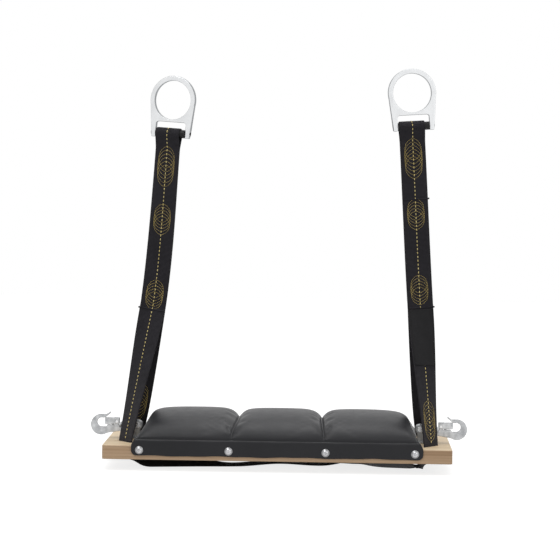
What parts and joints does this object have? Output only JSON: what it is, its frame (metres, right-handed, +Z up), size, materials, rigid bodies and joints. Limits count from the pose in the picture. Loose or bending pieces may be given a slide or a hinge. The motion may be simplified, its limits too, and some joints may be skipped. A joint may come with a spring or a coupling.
{
  "type": "bosun's chair",
  "caption": "Padded plywood work seat hung from two webbing hangers with plate D-rings, with webbing crossed under the board and a swivel snap hook at each end.",
  "frame": {"origin": "on the ground, below the middle of the seat", "axes": "+X along the board to the right as seen from the front, -Y to the front, +Z up"},
  "size_m": [0.6596, 0.264, 0.6973],
  "materials": {
    "plywood": "sanded and clear coated, with bare ply edges",
    "foam": "open cell foam",
    "vinyl": "satin black coated cloth",
    "webbing": "ribbed black polyester webbing",
    "label": "plain woven patch",
    "ring_alloy": "satin forged alloy",
    "screw_steel": "bright plated",
    "zinc_steel": "zinc plated",
    "sleeve": "moulded black plastic"
  },
  "bodies": {
    "seat": {"seat_board": "plywood", "seat_foam": "foam", "pad_cover": "vinyl", "front_flap": "vinyl", "rear_flap": "vinyl", "front_screws": "screw_steel", "rear_screws": "screw_steel", "front_washers": "screw_steel", "rear_washers": "screw_steel", "under_strap_a": "webbing", "under_strap_b": "webbing", "left_hook_bracket": "zinc_steel", "right_hook_bracket": "zinc_steel", "left_hook_pin": "zinc_steel", "right_hook_pin": "zinc_steel", "bracket_screws": "zinc_steel"},
    "left_hanger": {"left_band": "webbing", "left_front_leg": "webbing", "left_rear_leg": "webbing", "left_loop": "webbing", "left_sleeve": "sleeve"},
    "left_ring": {"left_ring": "ring_alloy", "left_ring_pin": "screw_steel"},
    "left_hook_eye": {"left_hook_eye": "zinc_steel"},
    "left_hook": {"left_hook": "zinc_steel", "left_gate_rivet": "zinc_steel", "left_gate_spring": "zinc_steel"},
    "left_gate": {"left_gate": "zinc_steel"},
    "right_hanger": {"right_band": "webbing", "right_front_leg": "webbing", "right_rear_leg": "webbing", "right_loop": "webbing", "right_sleeve": "sleeve", "right_label": "label"},
    "right_ring": {"right_ring": "ring_alloy", "right_ring_pin": "screw_steel"},
    "right_hook_eye": {"right_hook_eye": "zinc_steel"},
    "right_hook": {"right_hook": "zinc_steel", "right_gate_rivet": "zinc_steel", "right_gate_spring": "zinc_steel"},
    "right_gate": {"right_gate": "zinc_steel"}
  },
  "joints": [
    {"name": "left_strap_fold", "type": "hinge", "parent": "seat", "child": "left_hanger", "pos_m": [-0.263, 0, 0.043], "axis": [0, 1, 0], "range_deg": [-85, 35], "deforming": ["left_front_leg", "left_rear_leg"]},
    {"name": "left_ring_swing", "type": "hinge", "parent": "left_hanger", "child": "left_ring", "pos_m": [-0.196, 0, 0.579], "axis": [0.9377, -0.342, -0.0606], "range_deg": [-140, 140]},
    {"name": "left_hook_lift", "type": "hinge", "parent": "seat", "child": "left_hook_eye", "pos_m": [-0.248, 0, 0.067], "axis": [0, 1, 0], "range_deg": [0, 90]},
    {"name": "left_hook_swivel", "type": "hinge", "parent": "left_hook_eye", "child": "left_hook", "pos_m": [-0.248, 0, 0.067], "axis": [1, 0, 0], "continuous": true},
    {"name": "left_gate_open", "type": "hinge", "parent": "left_hook", "child": "left_gate", "pos_m": [-0.284, 0, 0.072], "axis": [0, -1, 0], "range_deg": [0, 20], "stiffness_Nm_per_rad": 0.02, "springref_deg": -34.38, "deforming": ["left_gate_spring"]},
    {"name": "right_strap_fold", "type": "hinge", "parent": "seat", "child": "right_hanger", "pos_m": [0.263, 0, 0.043], "axis": [0, 1, 0], "range_deg": [-35, 85], "deforming": ["right_front_leg", "right_rear_leg"]},
    {"name": "right_ring_swing", "type": "hinge", "parent": "right_hanger", "child": "right_ring", "pos_m": [0.228, 0, 0.597], "axis": [0.9855, 0.1564, 0.0655], "range_deg": [-140, 140]},
    {"name": "right_hook_lift", "type": "hinge", "parent": "seat", "child": "right_hook_eye", "pos_m": [0.248, 0, 0.067], "axis": [0, -1, 0], "range_deg": [0, 90]},
    {"name": "right_hook_swivel", "type": "hinge", "parent": "right_hook_eye", "child": "right_hook", "pos_m": [0.248, 0, 0.067], "axis": [1, 0, 0], "continuous": true},
    {"name": "right_gate_open", "type": "hinge", "parent": "right_hook", "child": "right_gate", "pos_m": [0.284, 0, 0.072], "axis": [0, 1, 0], "range_deg": [0, 20], "stiffness_Nm_per_rad": 0.02, "springref_deg": -34.38, "deforming": ["right_gate_spring"]}
  ]
}
